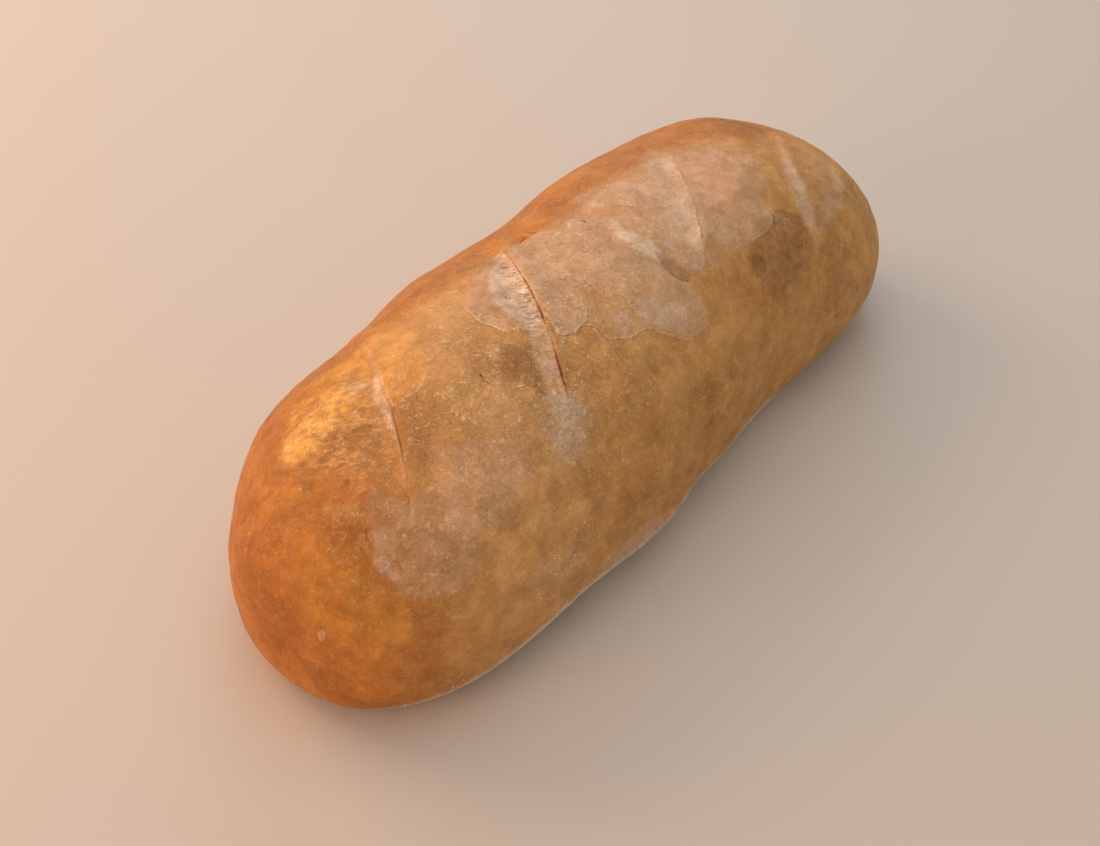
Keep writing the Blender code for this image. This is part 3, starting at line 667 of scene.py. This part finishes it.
def cut_marks(crest, angle):
    """The gap in mm to the nearest slash, the half width of its mouth there, and its strength."""
    gaps = np.array([crest[:, 0] - slash["crest"] for slash in SLASHES]) / MM
    mouths = np.array([np.interp(np.degrees(angle[0]), *np.transpose(slash["mouth"])) for slash in SLASHES])
    strengths = np.array([slash["strength"] for slash in SLASHES])
    nearest = np.argmin(np.abs(gaps), axis=0)
    gap = gaps[nearest, np.arange(len(nearest))]
    level = np.ones(angle.shape)
    return {"cut_gap": gap[:, None] * level, "cut_mouth": mouths[nearest],
            "cut_strength": strengths[nearest][:, None] * level}


def warm_lit_orange_marks(crest, angle):
    """The near end and the upper left side: more orange where the crust glazed, with painted warm light on
    it.
    """
    place = crest / MM
    degrees = np.degrees(angle)
    end = 1.0 - smooth_step(*WARM_LIT_END, place)
    border = np.interp(place, *np.transpose(WARM_LIT_LIMB))
    limb = 1.0 - smooth_step(border - WARM_LIT_FADE, border + WARM_LIT_FADE, degrees)
    limb = limb * (WARM_LIT_LOW + (1.0 - WARM_LIT_LOW) * smooth_step(*WARM_LIT_FULL, degrees))
    under = WARM_LIT_LOW * smooth_step(*WARM_LIT_UNDER, degrees)
    return np.maximum(end, np.maximum(limb, under) * (1.0 - smooth_step(*WARM_LIT_GONE, place)))


def brown_and_shade_marks(crest, angle):
    """Painted shade down the right side from the middle on, and darker crust towards the far end."""
    side = smooth_step(*SHADE_SIDE, np.degrees(angle)) * smooth_step(*SHADE_SIDE_FROM, crest / MM)
    return np.maximum(side, smooth_step(*DARKER_FAR_END, crest / MM))


def soft_spot(crest, angle, place, long, degrees, wide):
    """A soft round region: 1 in its middle."""
    along = (crest / MM - place) / long
    beside = (np.degrees(angle) - degrees) / wide
    return np.exp(-along ** 2 - beside ** 2)


def foot_marks(points, crest, angle):
    """How far in mm a point lies beyond the line at which the floured foot begins."""
    steps = np.linalg.norm(np.diff(points, axis=1), axis=-1) / MM
    around = np.concatenate([np.zeros((len(points), 1)), np.cumsum(steps, axis=1)], axis=1)
    degrees = np.degrees(angle[0])
    begins = np.interp(crest[:, 0] / MM, *np.transpose(FOOT_LINE))
    below = (FOOT_HEIGHT - points[..., 2]) / MM
    beyond = np.array([row - np.interp(line, degrees, row) for row, line in zip(around, begins)])
    beyond = beyond - FOOT_EASE["by"] * smooth_step(FOOT_EASE["from"], FOOT_EASE["to"], degrees)
    return np.where(degrees < FOOT_MIDDLE, np.maximum(beyond, below), below)


# === The crust as a mesh ===
def new_mesh(name, vertices, faces):
    """A mesh from its vertices and faces."""
    mesh = bpy.data.meshes.new(name)
    mesh.from_pydata(vertices, [], faces)
    mesh.update()
    return mesh


def add(name, data):
    """A new object in the scene, of a mesh, a light or a camera."""
    made = bpy.data.objects.new(name, data)
    bpy.context.scene.collection.objects.link(made)
    return made


def closed_skin(name, points, tips):
    """A closed mesh: quads between the rings and a fan at each tip."""
    rings, columns = points.shape[:2]
    vertices = np.concatenate([tips[:1], points.reshape(-1, 3), tips[1:]])
    last = len(vertices) - 1
    ring, column = np.meshgrid(np.arange(rings - 1), np.arange(columns), indexing="ij")
    start = 1 + ring * columns
    following = (column + 1) % columns
    corners = (start + column, start + following, start + columns + following, start + columns + column)
    faces = np.stack(corners, axis=-1).reshape(-1, 4).tolist()
    end = 1 + (rings - 1) * columns
    for step in range(columns):
        after = (step + 1) % columns
        faces.append((0, 1 + after, 1 + step))
        faces.append((last, end + step, end + after))
    return new_mesh(name, vertices.tolist(), faces)


def put_marks(mesh, marks):
    """Store fields on the mesh, a number or three for each point; the tips repeat their neighbours."""
    for name, field in marks.items():
        size = field.shape[2] if field.ndim == 3 else 1
        near, far = (field[ring].reshape(-1, size).mean(axis=0, keepdims=True) for ring in (0, -1))
        values = np.concatenate([near, field.reshape(-1, size), far]).astype(np.float32)
        kind, what = ("FLOAT_VECTOR", "vector") if size == 3 else ("FLOAT", "value")
        mesh.attributes.new(name, kind, "POINT").data.foreach_set(what, values.ravel())


def grid_lines():
    """The crest place of each ring and the angle of each column."""
    columns = np.arange(COLUMN_BENDS[-1][0])
    return ring_places()[:, None], np.radians(np.interp(columns, *np.transpose(COLUMN_BENDS)))[None, :]


def crust_grid(crest, angle):
    """The crust on a fine grid in the frame of the solid, its tips and its marks."""
    points = on_form(crest, angle)
    points[:, [COLUMN_BENDS[0][0], COLUMN_BENDS[1][0]], 2] = GIRTH_HEIGHT
    normals = outward(points)
    marks, relief = patch_marks(points, crest, angle)
    tears = tear_marks(points)
    marks.update(cut_marks(crest, angle))
    marks.update({"tear": tears, "foot": foot_marks(points, crest, angle),
                  "ruddy": warm_lit_orange_marks(crest, angle), "browner": brown_and_shade_marks(crest, angle),
                  "scaly": soft_spot(crest, angle, **SCALY), "curly": soft_spot(crest, angle, **CURLY)})

    relief = relief + slash_relief(crest, angle) + swell_relief(crest, angle) + dent_relief(points)
    for height, waves in UNEVEN:
        relief = relief + height * uneven(points, **waves)
    relief = relief - TEAR_DEPTH * np.exp(-(np.maximum(tears, 0.0) / TEAR_REACH) ** 2)
    relief = relief * smooth_step(*BASE_CLEAR, points[..., 2])
    points = points + normals * relief[..., None]
    points[..., 2] = np.maximum(points[..., 2], 0.0)
    tips = np.array([on_form(np.array(tip), np.array(0.0)) for tip in TIPS])
    tips[:, 2] = GIRTH_HEIGHT

    low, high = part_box("loaf")
    whole = points.reshape(-1, 3)
    shift = (np.array(low) + np.array(high) - whole.min(axis=0) - whole.max(axis=0)) / 2.0
    shift[2] = 0.0
    return points + shift, tips + shift, marks


def make_crust(points, tips, marks):
    """The whole crust."""
    mesh = closed_skin("crust", points, tips)
    put_marks(mesh, marks)
    mesh.shade_smooth()
    return add("crust", mesh)


def grain_form():
    """A regular solid of 20 triangles, facing out, with its 12 corners at distance 1."""
    golden = (1.0 + math.sqrt(5.0)) / 2.0
    signs = [(a, b) for a in (-1, 1) for b in (-1, 1)]
    corners = np.array([np.roll((a, b * golden, 0.0), turn) for turn in range(3) for a, b in signs])
    corners /= np.linalg.norm(corners[0])
    side = np.linalg.norm(corners[0] - corners[2])
    triangles = []
    for face in combinations(range(12), 3):
        a, b, c = corners[list(face)]
        if max(np.linalg.norm(gap) for gap in (a - b, b - c, c - a)) < side * 1.01:
            triangles.append(face if np.cross(b - a, c - a) @ a > 0.0 else face[::-1])
    return corners, triangles


def make_grains(points, crest, angle):
    """Grains of flour caught on the crust, each a small closed lump half sunk in it."""
    draw = np.random.default_rng(GRAIN_SEED)
    normals = outward(points)
    corners, triangles = grain_form()
    vertices, faces = [], []
    for group in GRAINS:
        for _ in range(group["count"]):
            place = draw.uniform(*group["places"])
            turn = draw.uniform(*group["degrees"])
            if group["from_foot"]:
                turn += np.interp(place, *np.transpose(FOOT_LINE))
            ring = int(np.argmin(np.abs(crest[:, 0] / MM - place)))
            column = int(np.argmin(np.abs(np.degrees(angle[0]) - turn)))
            share, beside = draw.uniform(size=2)
            spot = points[ring, column] * (1.0 - share) + points[ring + 1, column] * share
            spot = spot + (points[ring, column + 1] - points[ring, column]) * beside
            radius = draw.uniform(*GRAIN_RADII)
            lump = corners * radius * draw.uniform(*GRAIN_UNEVEN, size=(12, 1))
            lump = lump + spot + normals[ring, column] * radius * GRAIN_RISE
            start = len(vertices)
            vertices.extend(map(tuple, lump))
            faces.extend(tuple(start + corner for corner in face) for face in triangles)
    return add("flour_grains", new_mesh("flour_grains", vertices, faces))


# === Materials ===
ATTRIBUTE, MATH, RANGE, MIX = "ShaderNodeAttribute", "ShaderNodeMath", "ShaderNodeMapRange", "ShaderNodeMix"
NOISE, CELLS = "ShaderNodeTexNoise", "ShaderNodeTexVoronoi"
VECTOR_MATH, TURN = "ShaderNodeVectorMath", "ShaderNodeVectorRotate"
BLEND = {"out": 2, "data_type": "RGBA"}
TINT = {"blend_type": "MULTIPLY", **BLEND}
SOFTLY = {"interpolation_type": "SMOOTHSTEP"}
PLUS, MINUS, TIMES = {"operation": "ADD"}, {"operation": "SUBTRACT"}, {"operation": "MULTIPLY"}
TIMES_PLUS, LARGER = {"operation": "MULTIPLY_ADD"}, {"operation": "MAXIMUM"}
UNSIGNED = {"operation": "ABSOLUTE"}
SHARE = {"use_clamp": True, **TIMES}   # a product that stays between 0 and 1
ABOUT_UP = {"rotation_type": "Z_AXIS"}

MARKS = ("cut_gap", "cut_mouth", "cut_strength", "tear", "ruddy", "browner", "scaly", "curly", "foot")
# Uneven fields: how many mm their forms are across, their detail, and what they are stretched from and to
FIELDS = {
    "patches": (30, {"Detail": 3.0}, ()),
    "clouds": (9, {"Detail": 5.0, "Roughness": 0.6}, ()),
    "ragged": (4.5, {"Detail": 5.0, "Roughness": 0.72}, (0.25, 0.75, -1.0, 1.0)),
    "mottle": (6, {"Detail": 5.0, "Roughness": 0.62}, (0.32, 0.68, 0.35, 1.5)),
    "broken": (13, {"Detail": 3.0}, (0.48, 0.60)),
    "folds": (6, {"Detail": 4.0, "Roughness": 0.55, "Distortion": 0.7}, ()),
    "grain": (1.3, {"Detail": 3.0, "Roughness": 0.6}, ()),
    "wobble": (2.2, {"Detail": 3.0, "Roughness": 0.7}, (0.3, 0.7, -0.35, 0.35)),
}
# The bare crust, paler and darker: in general, then darker with painted shade down the right side and
# towards the far end, then more orange where it glazed, with painted warm light on it
BROWNS_SHADE_WARM_LIGHT = ((None, "#D69C5C", "#BE8242"), ("browner", "#CE9652", "#B47C3B"), ("ruddy", "#C27C32", "#AE6A26"))
FLAKE_SIZE = 11.0   # mm
FLAKE_BEND = 9.0    # mm that the flakes' edges wander, and how far apart
# A crisp edge has a pale lip, partly a painted highlight, and a painted shadow line below it: middle and
# half width in mm, colour, strength
LIP_LIGHT_AND_SHADOW = ((0.4, 0.4, "#EFD2AC", 0.7), (-0.35, 0.35, "#8E5A2C", 0.5))
CRISP_LAYERS = ("skin", "flake", "gold", "pink")
# Curls of the dried surface: how far apart in mm, and strength
CURLS = ((2.1, 1.0), (4.2, 0.8))
# Pores and specks of flour: how far apart in mm, core and edge as shares of that, colour, strength, lift
SPECKS = ((3.6, 0.05, 0.11, "#7C4A22", 0.5, -0.12), (1.9, 0.07, 0.14, "#F0DCC0", 0.35, 0.06))


def linear(colour):
    """A hex sRGB colour as linear RGBA."""
    shares = [int(colour[start:start + 2], 16) / 255.0 for start in (1, 3, 5)]
    light = [share / 12.92 if share <= 0.04045 else ((share + 0.055) / 1.055) ** 2.4 for share in shares]
    return (*light, 1.0)


def node(tree, kind, joins=(), out=0, **settings):
    """Add a node: settings are its own, joins go to its inputs, in order or by name, as values or as
    links. Gives one output."""
    made = tree.nodes.new(kind)
    for name, value in settings.items():
        setattr(made, name, value)
    for place, value in joins.items() if isinstance(joins, dict) else enumerate(joins):
        if isinstance(value, bpy.types.NodeSocket):
            tree.links.new(value, made.inputs[place])
        else:
            made.inputs[place].default_value = value
    return made.outputs[out]


def new_material(name):
    """A material with its node tree and shader."""
    material = bpy.data.materials.new(name)
    material.use_nodes = True
    return material, material.node_tree, material.node_tree.nodes["Principled BSDF"]


def seen_fields(put):
    """What the crust's looks are made from: the place in mm, the marks on the mesh and uneven fields."""
    place = put("ShaderNodeTexCoord", out=3)
    see = {"where": put(VECTOR_MATH, (place, (1000.0, 1000.0, 1000.0)), **TIMES)}
    for name in MARKS:
        see[name] = put(ATTRIBUTE, out=2, attribute_name=name)
    for name, (across, detail, stretch) in FIELDS.items():
        field = put(NOISE, {"Vector": see["where"], "Scale": 1 / across, **detail})
        see[name] = put(RANGE, (field, *stretch)) if stretch else field
    see["browning"] = put(MATH, (see["patches"], see["clouds"]), **PLUS)
    return see


def bare_crust(put, see):
    """Uneven browning: patches of 30 mm and clouds of 9 mm, darker with painted shade down the right side
    and towards the far end, more orange where the crust glazed, with painted warm light on it.
    """
    brown = put(RANGE, (see["browning"], 0.75, 1.25))
    colour = None
    for mark, pale, dark in BROWNS_SHADE_WARM_LIGHT:
        ink = put(MIX, {0: brown, 6: linear(pale), 7: linear(dark)}, **BLEND)
        colour = ink if mark is None else put(MIX, {0: see[mark], 6: colour, 7: ink}, **BLEND)
    return colour


def thin_flakes(put, see):
    """Thin flakes of crust with wandering edges, each a little higher or lower."""
    bend = put(NOISE, {"Vector": see["where"], "Scale": 1 / FLAKE_BEND, "Detail": 4.0}, out=1)
    see["bent"] = put(VECTOR_MATH, (bend, (FLAKE_BEND,) * 3, see["where"]), **TIMES_PLUS)
    flake = put(CELLS, {"Vector": see["bent"], "Scale": 1 / FLAKE_SIZE}, out=1)
    see["each_flake"] = put("ShaderNodeSeparateColor", (flake,))
    return put(MATH, (see["each_flake"], 0.15), **TIMES)


def covering(put, see, layer):
    """Of a layer's patches: mm inside their ragged edge, its softness, their share, and what they cover."""
    field = put(ATTRIBUTE, out=1, attribute_name=layer)
    inward, soft, share = put("ShaderNodeSeparateXYZ", (field,)).node.outputs
    spread = put(MATH, (soft, 0.8, 0.8), **TIMES_PLUS)
    gap = put(MATH, (see["ragged"], spread, inward), **TIMES_PLUS)
    outer = put(MATH, (soft, -1.0), **TIMES)
    inside = put(RANGE, (gap, outer, soft), **SOFTLY)
    cover = put(MATH, (inside, share), **TIMES)
    return gap, soft, share, put(MATH, (cover, see["mottle"]), **SHARE)


def dried_skins(put, see, colour, height):
    """Patches of dried skin, golden peel, pink and flour, with painted warm light and a painted highlight
    among them; where crisp, a pale lip, partly a painted highlight, over a painted shadow line.
    """
    curled = put(RANGE, (see["patches"], 0.4, 0.6, 0.35, 0.9))
    curled = put(MATH, (curled, see["curly"], 0.15), **TIMES_PLUS)
    for layer, (ink, lift, curls) in LAYERS.items():
        gap, soft, share, cover = covering(put, see, layer)
        see[layer] = cover
        colour = put(MIX, {0: cover, 6: colour, 7: linear(ink)}, **BLEND)
        height = put(MATH, (cover, lift, height), **TIMES_PLUS)
        curled = put(MATH, (cover, curls, curled), **TIMES_PLUS)
        if layer not in CRISP_LAYERS:
            continue
        crisp = put(RANGE, (soft, 0.3, 0.9, 1.0, 0.0))
        shown = put(MATH, (share, 2.2), **SHARE)
        for limit in (shown, see["mottle"]):
            crisp = put(MATH, (crisp, limit), **TIMES)
        # The pale lip, partly a painted highlight, and the painted shadow line below it
        for middle, half, lip_and_shadow_ink, strength in LIP_LIGHT_AND_SHADOW:
            line = put(MATH, (gap, -middle), **PLUS)
            line = put(MATH, (line,), **UNSIGNED)
            line = put(RANGE, (line, 0.0, half, strength, 0.0))
            line = put(MATH, (line, crisp), **TIMES)
            colour = put(MIX, {0: line, 6: colour, 7: linear(lip_and_shadow_ink)}, **BLEND)
    see["curled"] = curled
    tone = put(RANGE, (see["each_flake"], 0.0, 1.0, 0.89, 1.09))
    return put(MIX, {0: 1.0, 6: colour, 7: tone}, **TINT), height


def fine_curls(put, see, colour, height):
    """Fine wrinkles of the dried surface: short pale curls 0.3 mm wide and about 2 mm long."""
    wrinkle = None
    for spacing, strength in CURLS:
        curls = put(NOISE, {"Vector": see["where"], "Scale": 1 / spacing, "Detail": 2.0, "Distortion": 0.8})
        curls = put(MATH, (curls, 0.5), **MINUS)
        curls = put(MATH, (curls,), **UNSIGNED)
        curls = put(RANGE, (curls, 0.0, 0.085 / spacing, strength, 0.0))
        broken = put(NOISE, {"Vector": see["where"], "Scale": 1 / 1.7 / spacing, "Detail": 3.0})
        broken = put(RANGE, (broken, 0.42, 0.55))
        curls = put(MATH, (curls, broken), **TIMES)
        wrinkle = curls if wrinkle is None else put(MATH, (curls, wrinkle), **LARGER)
    wrinkle = put(MATH, (wrinkle, see["curled"]), **SHARE)
    colour = put(MIX, {0: wrinkle, 6: colour, 7: linear("#FCD49C")}, **BLEND)
    return colour, put(MATH, (wrinkle, 0.26, height), **TIMES_PLUS)


def veins(put, see, colour, height):
    """Thin pale veins along the edges of the flakes, 0.3 mm wide and broken, but not on the glazed orange
    crust with its painted warm light.
    """
    vein = put(CELLS, {"Vector": see["bent"], "Scale": 1 / FLAKE_SIZE}, feature="DISTANCE_TO_EDGE")
    vein = put(RANGE, (vein, 0.0, 0.035, 0.4, 0.0))
    outside_warm_lit_orange = put(MATH, (1.0, see["ruddy"]), **MINUS)
    broken = put(MATH, (see["broken"], outside_warm_lit_orange), **TIMES)
    vein = put(MATH, (vein, broken), **TIMES)
    return put(MIX, {0: vein, 6: colour, 7: linear("#DCB07C")}, **BLEND), height


def shoulder_scales(put, see, colour, height):
    """Scales on the glazed near shoulder, stretched across the loaf: 4 mm long and 1.2 mm wide."""
    turned = put(TURN, {"Vector": see["where"], "Angle": SCALE_TURN}, **ABOUT_UP)
    turned = put(VECTOR_MATH, (turned, (0.45, 1.0, 1.0)), **TIMES)
    swirled = {"Detail": 3.0, "Roughness": 0.6, "Distortion": 0.6}
    scales = put(NOISE, {"Vector": turned, "Scale": 1 / 2.4, **swirled})
    light = put(RANGE, (scales, 0.38, 0.62, 0.7, 1.3))
    scaly = put(MIX, {0: 1.0, 6: colour, 7: light}, **TINT)
    amount = put(MATH, (see["scaly"], see["mottle"]), **SHARE)
    colour = put(MIX, {0: amount, 6: colour, 7: scaly}, **BLEND)
    scales = put(MATH, (scales, amount), **TIMES)
    return colour, put(MATH, (scales, 0.7, height), **TIMES_PLUS)


def soft_folds(put, see, colour, height):
    """Soft folds where the skin slid as the dough rose: 6 mm across, drawn out and swirled."""
    light = put(RANGE, (see["folds"], 0.3, 0.7, 0.88, 1.12))
    colour = put(MIX, {0: 1.0, 6: colour, 7: light}, **TINT)
    return colour, put(MATH, (see["folds"], 0.6, height), **TIMES_PLUS)


def grain_and_specks(put, see, colour, height):
    """The grain of the crust, its pores and specks of flour."""
    speckle = put(RANGE, (see["grain"], 0.3, 0.7, 0.83, 1.17))
    gritty = put(RANGE, (see["curly"], 0.0, 1.0, 0.4, 1.0))
    colour = put(MIX, {0: gritty, 6: colour, 7: speckle}, **TINT)
    height = put(MATH, (see["grain"], 0.12, height), **TIMES_PLUS)
    for spacing, core, edge, ink, strength, lift in SPECKS:
        dots = put(CELLS, {"Vector": see["where"], "Scale": 1 / spacing}, feature="F1")
        dots = put(RANGE, (dots, core, edge, 1.0, 0.0), **SOFTLY)
        spots = put(NOISE, {"Vector": see["where"], "Scale": 1 / 6 / spacing, "Detail": 2.0})
        spots = put(RANGE, (spots, 0.42, 0.6))
        dots = put(MATH, (dots, spots), **TIMES)
        shown = put(MATH, (dots, strength), **TIMES)
        colour = put(MIX, {0: shown, 6: colour, 7: linear(ink)}, **BLEND)
        height = put(MATH, (dots, lift, height), **TIMES_PLUS)
    return colour, height


def pits_in_the_band(put, see, colour, height):
    """Pits in the stretched dough beside a slash: short dark dashes across the band, 1 mm apart."""
    turned = put(TURN, {"Vector": see["where"], "Angle": DASH_TURN}, **ABOUT_UP)
    turned = put(VECTOR_MATH, (turned, (0.3, 1.0, 1.0)), **TIMES)
    dashes = put(NOISE, {"Vector": turned, "Scale": 1.0, "Detail": 2.0})
    dashes = put(RANGE, (dashes, 0.54, 0.61))
    beside = put(RANGE, (see["cut_gap"], -13.0, -4.0))
    strong = put(RANGE, (see["cut_strength"], 0.6, 1.0))
    for limit in (beside, strong, see["flour"]):
        dashes = put(MATH, (dashes, limit), **TIMES)
    # The dark of the dashes is painted shade in the pits
    shown = put(MATH, (dashes, 0.8), **TIMES)
    colour = put(MIX, {0: shown, 6: colour, 7: linear("#A06C44")}, **BLEND)
    return colour, put(MATH, (dashes, -0.25, height), **TIMES_PLUS)


def hollows_and_mouths(put, see, colour, height):
    """Darker stains, painted shade in hollows, folds and pits, and painted shade in the slashes' mouths and
    the small tears.
    """
    # Darker stains, and painted shade in the folds, the hollows and the pit
    stain_and_shade_cover = covering(put, see, "shade")[-1]
    colour = put(MIX, {0: stain_and_shade_cover, 6: colour, 7: linear("#824822")}, **BLEND)
    # The slashes' mouths: painted shade in the cuts, darker where they gape wider
    gap = put(MATH, (see["cut_gap"], 0.12), **PLUS)
    gap = put(MATH, (gap, see["wobble"]), **PLUS)
    gap = put(MATH, (gap,), **UNSIGNED)
    within = put(MATH, (see["cut_mouth"], gap), **MINUS)
    mouth = put(RANGE, (within, -0.25, 0.0, 0.0, 0.8), **SOFTLY)
    wide = put(RANGE, (see["cut_mouth"], 0.05, 0.3))
    ink = put(MIX, {0: wide, 6: linear("#A85822"), 7: linear("#6E3C1A")}, **BLEND)
    colour = put(MIX, {0: mouth, 6: colour, 7: ink}, **BLEND)
    # The tears: painted shade in the cracks
    torn = put(RANGE, (see["tear"], 0.15, -0.2), **SOFTLY)
    return put(MIX, {0: torn, 6: colour, 7: linear("#7A4A24")}, **BLEND), height


def floured_foot(put, see, colour, height):
    """Flour from the baking stone on the foot and the underside, its edge wandering and dusty."""
    foot = put(MATH, (see["ragged"], 0.8, see["foot"]), **TIMES_PLUS)
    for field, reach in ((see["clouds"], 2.0), (see["grain"], 2.4)):
        wander = put(RANGE, (field, 0.3, 0.7, -reach, reach))
        foot = put(MATH, (foot, wander), **PLUS)
    foot = put(RANGE, (foot, -2.8, 1.4), **SOFTLY)
    bare = put(RANGE, (see["browning"], 0.85, 1.15, 0.92, 0.55))
    see["floured"] = put(MATH, (foot, bare), **TIMES)
    return put(MIX, {0: see["floured"], 6: colour, 7: linear("#E4D4BE")}, **BLEND), height


def browned_crust():
    """Browned wheat crust: satin where the dough's starch glazed, matt where it dried and took flour."""
    material, tree, shader = new_material("browned_crust")
    put = partial(node, tree)
    see = seen_fields(put)
    colour, height = bare_crust(put, see), thin_flakes(put, see)
    for look in (dried_skins, fine_curls, veins, shoulder_scales, soft_folds, grain_and_specks,
                 pits_in_the_band, hollows_and_mouths, floured_foot):
        colour, height = look(put, see, colour, height)
    bump = put("ShaderNodeBump", {"Height": height, "Distance": MM, "Strength": 1.0})
    rough = put(RANGE, (see["clouds"], 0.3, 0.7, 0.48, 0.62))
    rough = put(MATH, (see["gold"], -0.18, rough), **TIMES_PLUS)
    matt = put(MATH, (see["flour"], see["floured"]), **LARGER)
    rough = put(MIX, {0: matt, 2: rough, 3: 0.8}, data_type="FLOAT")
    tree.links.new(colour, shader.inputs["Base Color"])
    tree.links.new(bump, shader.inputs["Normal"])
    tree.links.new(rough, shader.inputs["Roughness"])
    shader.inputs["IOR"].default_value = 1.45
    shader.inputs["Specular IOR Level"].default_value = 0.35   # porous, so less than a smooth surface
    return material


def plain(name, colour, roughness):
    """A material of one even colour."""
    material, tree, shader = new_material(name)
    shader.inputs["Base Color"].default_value = linear(colour)
    shader.inputs["Roughness"].default_value = roughness
    return material


# === Stage ===
LAMPS = (
    {"name": "window", "place": (-0.1, 1.05, 0.7), "size": 0.7, "power": 7.2, "colour": "#FFCB9A"},
    {"name": "overhead", "place": (0.1, 0.1, 1.4), "size": 1.2, "power": 4.0, "colour": "#FFFFFF"},
    {"name": "warm_side", "place": (-1.1, 0.3, 0.4), "size": 0.6, "power": 5.0, "colour": "#FFB478"},
    {"name": "cool_back", "place": (0.9, 0.7, 0.8), "size": 0.8, "power": 3.0, "colour": "#D4E8FF"},
)
LAMPS_AIM = (0.0, 0.0, 0.04)
ROOM_COLOUR = "#E2DDD6"
ROOM_STRENGTH = 0.62
FLOOR_HALF = 6.0
FLOOR_DROP = 0.0002   # below the loaf's base, so that the two faces don't meet


def aim(thing, place, target):
    """Put a camera or light at a place and turn it to its target."""
    thing.location = place
    thing.rotation_euler = (Vector(target) - Vector(place)).to_track_quat("-Z", "Y").to_euler()


def make_camera():
    """The photo's viewpoint."""
    camera = add("view", bpy.data.cameras.new("view"))
    camera.data.lens = LENS
    camera.data.sensor_width = SENSOR
    camera.data.sensor_fit = "HORIZONTAL"
    camera.data.clip_start = 0.01
    aim(camera, VIEW_FROM, VIEW_TO)
    bpy.context.scene.camera = camera


def make_lamps():
    """Soft lamps and an even pale room."""
    for lamp in LAMPS:
        light = add(lamp["name"], bpy.data.lights.new(lamp["name"], "AREA"))
        light.data.size = lamp["size"]
        light.data.energy = lamp["power"]
        light.data.color = linear(lamp["colour"])[:3]
        aim(light, lamp["place"], LAMPS_AIM)
    world = bpy.data.worlds.new("room")
    world.use_nodes = True
    backdrop = world.node_tree.nodes["Background"]
    backdrop.inputs["Color"].default_value = linear(ROOM_COLOUR)
    backdrop.inputs["Strength"].default_value = ROOM_STRENGTH
    bpy.context.scene.world = world


def make_floor():
    """A wide plain floor."""
    corners = [(x * FLOOR_HALF, y * FLOOR_HALF, 0.0) for x, y in ((-1, -1), (1, -1), (1, 1), (-1, 1))]
    floor = add("floor", new_mesh("floor", corners, [(0, 1, 2, 3)]))
    floor.data.materials.append(plain("pale_board", "#D0C6BC", 0.7))
    floor.location.z = -FLOOR_DROP


make_camera()
make_lamps()
make_floor()
crest_places, angles = grid_lines()
crust_points, crust_tips, crust_marks = crust_grid(crest_places, angles)
crust = make_crust(crust_points, crust_tips, crust_marks)
crust.data.materials.append(browned_crust())
grains = make_grains(crust_points, crest_places, angles)
grains.data.materials.append(plain("wheat_flour", "#E8DAC6", 0.9))
for piece in (crust, grains):
    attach(piece, "root")
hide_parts("loaf")

bpy.context.scene.view_settings.view_transform = "Standard"
